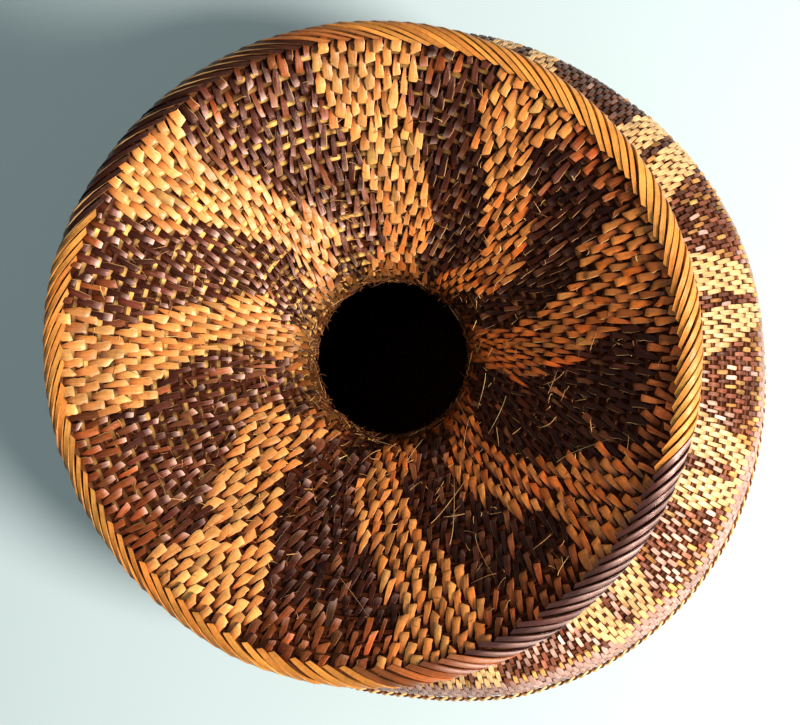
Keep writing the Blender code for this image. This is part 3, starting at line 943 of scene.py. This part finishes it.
# Round the border: how much of each free end shows, how close the strips lie and how slanting
end_share = (
    (0, 0.50), (45, 0.48), (70, 0.30), (95, 0.20), (142, 0.25), (156, 0.55), (186, 0.50), (202, 0.25),
    (250, 0.18), (275, 0.35), (310, 0.45),
)
strip_density = (
    (0, 1.22), (45, 1.14), (90, 1.04), (135, 0.98), (200, 0.95), (250, 0.95), (290, 1.02), (330, 1.1),
)
strip_slant = (
    (0, 1.30), (45, 1.30), (65, 1.75), (90, 2.25), (120, 2.1), (160, 1.7), (200, 1.8), (235, 1.6), (255, 1.3),
    (290, 1.4), (310, 1.5), (345, 1.35),
)
free_end_round = ((0, 1), (60, 0.9), (85, 0.1), (265, 0.1), (290, 0.6))
# Where the strips are black, brown and reddish, and how many of the black ones have a pale edge, by degrees
black_from, black_to = 107, 160
brown_from, brown_to = 287, 345
red_from = 94
rust_from, rust_to = brown_from - 12, brown_from + 9
pale_line_round = ((107, 0.9), (122, 0.8), (130, 0.25), (145, 0.3), (150, 0.8))
# A strip's section: places across it and heights over its bed, with the places of its top, where brown strips
# get a painted sheen, and of its edge, pale on a few black strips and painted darker as shade on the rest
strip_across = np.array([-1.0, -0.90, -0.2, 0.45, 0.84, 1.0, 0.9, 0.3, -0.3, -0.9])
strip_rise = np.array([0.50, 0.85, 0.98, 1.10, 1.22, 1.00, 0.05, 0.05, 0.05, 0.05]) * mm
strip_top = slice(1, 4)
strip_edge = 5
strip_steps = 9
square_turn = math.radians(35)


def strip_path(steps):
    """Stations of a strip from its end inside the mouth, over the hoop, to its end underneath."""
    centre = np.array([hoop_ring_radius, hoop_height])
    lift = half_wall + seam_gap

    def beside(s, out):
        radius, height, out_r, out_z = wall_frame(np.array([s]))
        return np.array([radius[0] + out_r[0] * out, height[0] + out_z[0] * out])

    inside = beside(edge_s - strip_reach_inside, -lift)
    under = beside(edge_s - strip_reach_under, lift)
    wraps = np.linspace(wrap_start, wrap_end, steps)
    rounds = np.stack([np.cos(wraps), np.sin(wraps)], axis=1)
    halfway = (inside + centre + rounds[0] * bed_radius) / 2
    points = np.concatenate([[inside], [halfway], centre + rounds * bed_radius, [under]])
    way = np.gradient(points, axis=0)
    way /= np.linalg.norm(way, axis=1)[:, None]
    return points, np.stack([-way[:, 1], way[:, 0]], axis=1), lengths_along(points)


def border_out(degrees):
    """How far the border stands out of its true round."""
    return (around(degrees, edge_sway) + 0.4) * mm


def strip_places():
    """Angles of the strips, closer together where the border is tight, and how close they are there."""
    grid = np.linspace(0, 360, 3601)
    density = around(grid, strip_density)
    total = np.concatenate([[0], np.cumsum((density[1:] + density[:-1]) / 2)])
    mean = total[-1] / (len(grid) - 1)
    degrees = np.interp(np.arange(strip_count) + 0.5, total * strip_count / total[-1], grid)
    return np.radians(degrees), around(degrees, strip_density) / mean


def border_colours(degrees):
    """Natural, black and brown strips, with pale edges on a few of the black ones and the other edges painted
    darker as shade.
    """
    count = len(degrees)
    black = (degrees > black_from) & (degrees < black_to)
    brown_run = (degrees > brown_from) & (degrees < brown_to)
    colours = shaded(border_gold, count, 0.13)
    recolour(colours, (degrees > red_from) & (degrees <= black_from), border_red, 0.15)
    recolour(colours, brown_run, border_brown, 0.25)
    recolour(colours, (degrees > rust_from) & (degrees < rust_to), border_rust, 0.25)
    recolour(colours, black, border_black, 0.35)
    edges = colours * 0.7
    pale = black & (rng.random(count) < along_share(degrees, pale_line_round))
    recolour(edges, pale, pale_edge, 0.3, light=0.6)
    return colours, edges, black, brown_run


def strip_corners(angles, density):
    """Corners of the strips [strip, station, ring, 3], and how far along a strip its stations lie."""
    degrees = np.degrees(angles)
    points, outs, lengths = strip_path(strip_steps)
    stations = len(points)
    share = lengths / lengths[-1]
    slant = np.radians(np.interp(share, (0, 0.5, 0.75, 1), (29, 28, 27, 26)))
    run = np.hypot(*(np.diff(points, axis=0) * (1, 0.5)).T)
    swing = np.concatenate([[0], np.cumsum(run / np.tan((slant[1:] + slant[:-1]) / 2))]) / hoop_ring_radius
    swing -= np.interp(lengths[-1] * 0.35, lengths, swing)
    swing = swing[None, :] * around(degrees, strip_slant)[:, None]
    shown = around(degrees, end_share)[:, None] * (1 + rng.normal(0, 0.12, strip_count))[:, None]
    swing[:, :2] = swing[:, 2:3] + (swing[:, :2] - swing[:, 2:3]) * shown
    places = np.repeat(points[None], strip_count, axis=0)
    places[:, :2] = points[2] + (points[None, :2] - points[2]) * shown[..., None]
    pitch = math.tau * hoop_ring_radius / strip_count / density
    half = pitch * 0.44 * (1 + rng.normal(0, 0.08, strip_count))
    taper = np.interp(share, (0, 0.12, 0.35, 0.8, 1), (0.66, 0.80, 1.0, 0.95, 0.8))
    jitter = rng.normal(0, 0.07, strip_count) * pitch
    reach = rng.normal(0, 0.35 * mm, strip_count) * around(degrees, free_end_round)
    wobble = rng.normal(0, 0.12 * mm, strip_count)
    out = strip_rise[None, :] + wobble[:, None] * (strip_across[None, :] * 0.6 + 0.4)
    inward = (points[0] - points[1]) / np.linalg.norm(points[0] - points[1])
    corners = np.zeros((strip_count, stations, len(strip_across), 3))
    for station in range(stations):
        across = half[:, None] * taper[station] * strip_across[None, :]
        angle = angles[:, None] + (jitter[:, None] + across) / hoop_ring_radius + swing[:, station, None]
        radius = places[:, station, :1] + outs[station, 0] * out + border_out(np.degrees(angle))
        height = places[:, station, 1:] + outs[station, 1] * out
        if station < 2:
            square = (across * 0.3 + reach[:, None]) * (1 - station * 0.5)
            radius, height = radius + inward[0] * square, height + inward[1] * square
            angle = angle - square / math.tan(square_turn) / hoop_ring_radius
        corners[:, station] = turned_round(radius, angle, height)
    return corners, share


def add_border():
    """Flat strips folded aslant over the hoop, each cut square inside the mouth and tucked under outside."""
    angles, density = strip_places()
    corners, share = strip_corners(angles, density)
    colours, edges, black, brown_run = border_colours(np.degrees(angles))
    # Painted shade along each strip: darker at its end inside the mouth and darkest where it tucks under
    shade = np.interp(share, (0, 0.06, 0.8, 1), (0.85, 1, 0.9, 0.6))
    shades = np.repeat(colours[:, None, None, :] * shade[None, :, None, None], len(strip_across), axis=2)
    # Painted shade: one long edge darker, the dark line between strips; the other edge darker too, pale on a
    # few black strips
    shades[:, :, 0] = colours[:, None, :] * 0.55
    shades[:, :, strip_edge] = edges[:, None, :]
    # Painted sheen: a pinkish highlight along the top of the brown strips
    sheen = np.interp(np.arange(len(share)), (2, 4, 6, 8), (0.02, 0.70, 0.70, 0.10))[None, :, None, None]
    sheen = sheen * rng.uniform(0.3, 1.3, strip_count)[:, None, None, None]
    sheen = sheen * np.array([0.05, 0.4, 1.0])[:, None]
    sheen_pink = np.asarray(pink_highlight) * sheen + shades[:, :, strip_top] * (1 - sheen)
    shades[brown_run, :, strip_top] = sheen_pink[brown_run]
    kinds = (
        ("natural", ~(black | brown_run), "border"),
        ("black", black, "dark"),
        ("brown", brown_run, "border_dyed"),
    )
    for kind, chosen, material in kinds:
        nodes = [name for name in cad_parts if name.startswith(f"border_strips_{kind}_")]
        piece = f"border_{kind}_strips"
        add_strands(piece, corners[chosen], shades[chosen], material, nodes)


# The wale, and the loose fibres

wale_turns, wale_steps, wale_ring, wale_arcs = 150, 10, 6, 25


def add_wale():
    """Two strands, tan and dark, twisted into one round along the belly."""
    share = np.arange(wale_turns * wale_steps + 1) / (wale_turns * wale_steps)
    angle = math.tau * share
    climb = wale_lean * np.cos(angle - wale_high_side)
    sides = math.tau * np.arange(wale_ring) / wale_ring
    per_arc = wale_turns * wale_steps // wale_arcs
    picked = np.arange(wale_arcs)[:, None] * per_arc + np.arange(per_arc + 1)[None]
    strands = (
        ("wale_tan", 0, straw, "tan", 0.78, ("belly_wale",)),
        ("wale_dark", math.pi, brown, "dark", 0.5, ()),
    )
    for name, phase, colour, material, thick, nodes in strands:
        twist = math.tau * wale_turns * share + phase
        s = belly_s - wale_drop + climb + wale_radius * 0.5 * np.sin(twist)
        out = half_wall + wale_radius * 0.35 + wale_radius * 0.45 * np.cos(twist)
        places = s[picked][..., None] + wale_radius * thick * 1.1 * np.cos(sides)
        outs = out[picked][..., None] + wale_radius * thick * 0.8 * np.sin(sides)
        corners = on_surface(wall_frame, places, angle[picked][..., None] + 0 * sides, outs)
        shades = np.repeat(shaded(colour, wale_arcs, 0.08)[:, None, :], per_arc + 1, axis=1)
        add_strands(name, corners, shades, material, nodes)


def hair_corners(starts, ways, lengths, curls, radius):
    """Fine curved fibres from a start, along a way, bending by a curl."""
    steps, ring = 8, 4
    share = np.linspace(0, 1, steps)
    sides = math.tau * np.arange(ring) / ring
    ways = ways / np.linalg.norm(ways, axis=1)[:, None]
    middle = (
        starts[:, None, :] + ways[:, None, :] * (lengths[:, None] * share[None])[..., None]
        + curls[:, None, :] * (share ** 2)[None, :, None]
    )
    aside = np.cross(ways, (0, 0, 1.0))
    aside /= np.linalg.norm(aside, axis=1)[:, None] + 1e-9
    over = np.cross(aside, ways)
    thin = np.interp(share, (0, 0.7, 1), (1, 0.8, 0.3))
    spokes = aside[:, None, :] * np.cos(sides)[None, :, None]
    spokes = spokes + over[:, None, :] * np.sin(sides)[None, :, None]
    return middle[:, :, None, :] + spokes[:, None, :, :] * (radius * thin)[None, :, None, None]


def tangents(s, angle):
    """Unit ways on the inside of the mouth: towards the neck, round the basket, and off the surface."""
    _, _, out_r, out_z = wall_frame(s)
    cos, sin = np.cos(angle), np.sin(angle)
    down = np.stack([out_z * cos, out_z * sin, -out_r], axis=1)
    aside = np.stack([-sin, cos, 0 * s], axis=1)
    off = -np.stack([out_r * cos, out_r * sin, out_z], axis=1)
    return down, aside, off


def add_hairs(name, degrees, share, lengths, spread, curl, radius, colour, shade_spread):
    """Fibres standing a little off the inside of the mouth, each along its own way."""
    count = len(degrees)
    angle = np.radians(degrees)
    s = between(foot_s, neck_s, share)
    down, aside, off = tangents(s, angle)
    starts = on_surface(wall_frame, s, angle, np.full(count, -1.9 * mm))
    along, over, rise = spread
    ways = down * rng.uniform(*along, (count, 1)) + aside * rng.normal(0, over, (count, 1))
    ways = ways + off * rng.uniform(*rise, (count, 1))
    curls = aside * rng.normal(0, curl, (count, 1)) + down * rng.normal(0, curl, (count, 1))
    hair = hair_corners(starts, ways, lengths, curls * lengths[:, None], radius)
    shades = np.repeat(shaded(colour, count, shade_spread)[:, None, :], hair.shape[1], axis=1)
    add_strands(name, hair, shades, "tan")


def add_fibres():
    """Loose fibres: long ones in the mouth, curls on the dark fields, and a fringe at the neck."""
    count = 26
    degrees = rng.normal(300, 48, count)
    add_hairs(
        "loose_fibres", degrees, rng.uniform(0.3, 0.97, count), rng.uniform(4, 11, count) * mm,
        ((-1, 1), 0.9, (0.05, 0.25)), 0.9, 0.12 * mm, loose_tan, 0.3,
    )
    count = 800
    degrees = np.concatenate([rng.uniform(80, 260, 560), rng.uniform(-100, 80, 240)])
    add_hairs(
        "curled_fibres", degrees, rng.uniform(0.05, 0.97, count), rng.uniform(1.0, 3.0, count) * mm,
        ((-0.4, 1), 0.7, (0.0, 0.20)), 1.0, 0.13 * mm, curl_tan, 0.6,
    )
    add_hairs(
        "neck_fibres", rng.uniform(0, 360, count), 1 + rng.uniform(-0.10, 0.02, count),
        rng.uniform(1.2, 3, count) * mm, ((-0.2, 1), 1.2, (0.0, 0.35)), 0.5, 0.15 * mm, fringe_brown, 0.6,
    )


# The stage: the floor's half side, and the lights' places, sizes, powers and colours

floor_side = 3.0
lights = (
    ("key", (1.02, -0.36, 0.98), 0.36, 41.0, (1.0, 0.95, 0.885)),
    ("top", (-0.2, 0.3, 1.5), 1.2, 3.0, (0.92, 0.96, 1.0)),
)
lit_point = Vector((0, 0, 0.15))


def add_object(name, data):
    item = bpy.data.objects.new(name, data)
    bpy.context.scene.collection.objects.link(item)
    return item


def add_stage():
    """A plain pale floor, soft studio light and the camera above the mouth."""
    mesh = bpy.data.meshes.new("floor")
    signs = ((-1, -1), (1, -1), (1, 1), (-1, 1))
    mesh.from_pydata([(x * floor_side, y * floor_side, 0) for x, y in signs], [], [(0, 1, 2, 3)])
    material, _, shader = material_nodes("pale_floor")
    shader.inputs["Base Color"].default_value = (*floor_grey, 1)
    shader.inputs["Roughness"].default_value = 0.9
    mesh.materials.append(material)
    add_object("floor", mesh)
    for name, place, size, power, colour in lights:
        light = bpy.data.lights.new(name, "AREA")
        light.shape = "DISK"
        light.size = size
        light.energy = power
        light.color = colour
        lamp = add_object(name, light)
        lamp.location = place
        lamp.rotation_euler = (lit_point - lamp.location).to_track_quat("-Z", "Y").to_euler()
    world = bpy.data.worlds.new("studio")
    world.use_nodes = True
    background = world.node_tree.nodes["Background"]
    background.inputs["Color"].default_value = (0.78, 0.94, 0.93, 1)
    background.inputs["Strength"].default_value = 0.24
    bpy.context.scene.world = world
    view = bpy.data.cameras.new("camera")
    view.lens = focal_points / picture_width * film_width
    camera = add_object("camera", view)
    camera.location = eye
    camera.rotation_euler = Euler([math.radians(degrees) for degrees in eye_turn])
    bpy.context.scene.camera = camera
    bpy.context.scene.view_settings.view_transform = "Standard"


add_stage()
add_cores()
add_all_rods()
weave_mouth()
weave_back()
weave_body()
weave_base()
add_border()
add_wale()
add_fibres()
